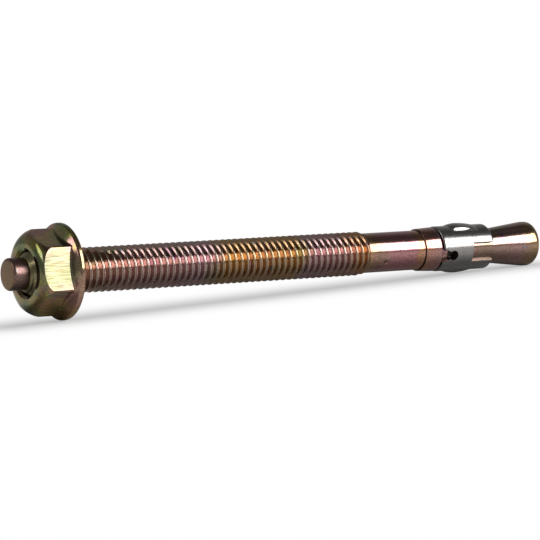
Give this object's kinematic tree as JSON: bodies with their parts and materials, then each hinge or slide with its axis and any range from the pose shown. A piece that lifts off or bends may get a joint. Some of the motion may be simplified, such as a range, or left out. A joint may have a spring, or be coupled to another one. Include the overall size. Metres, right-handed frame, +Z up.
{
  "type": "wedge anchor",
  "caption": "Steel wedge anchor: a threaded stud with a dog point and a flared cone, a slotted expansion clip on its neck, and a hexagon flange nut.",
  "frame": {"origin": "on the stud's axis, in the plane of the nut's bearing face as the nut is shown", "axes": "+X along the stud, from the nut to the cone that goes into the hole; +Z up as the anchor lies"},
  "size_m": [0.1077, 0.0166, 0.0166],
  "materials": {
    "stud_zinc": "yellow-passivated zinc on cold-formed steel, brown and mauve with gold and pink lights",
    "clip_steel": "plain grey steel sheet with a soft sheen",
    "nut_zinc": "yellow-passivated zinc on forged steel, olive and brown with teal and purple lights"
  },
  "bodies": {
    "stud": {"anchor_stud": "stud_zinc"},
    "nut": {"flange_nut": "nut_zinc"},
    "clip": {"expansion_clip": "clip_steel"}
  },
  "joints": [
    {"name": "nut_travel", "type": "slide", "parent": "stud", "child": "nut", "axis": [1, 0, 0], "range_m": [-0.005, 0.05875]},
    {"name": "clip_turn", "type": "hinge", "parent": "stud", "child": "clip", "pos_m": [0.081, 0, 0], "axis": [1, 0, 0], "continuous": true}
  ]
}
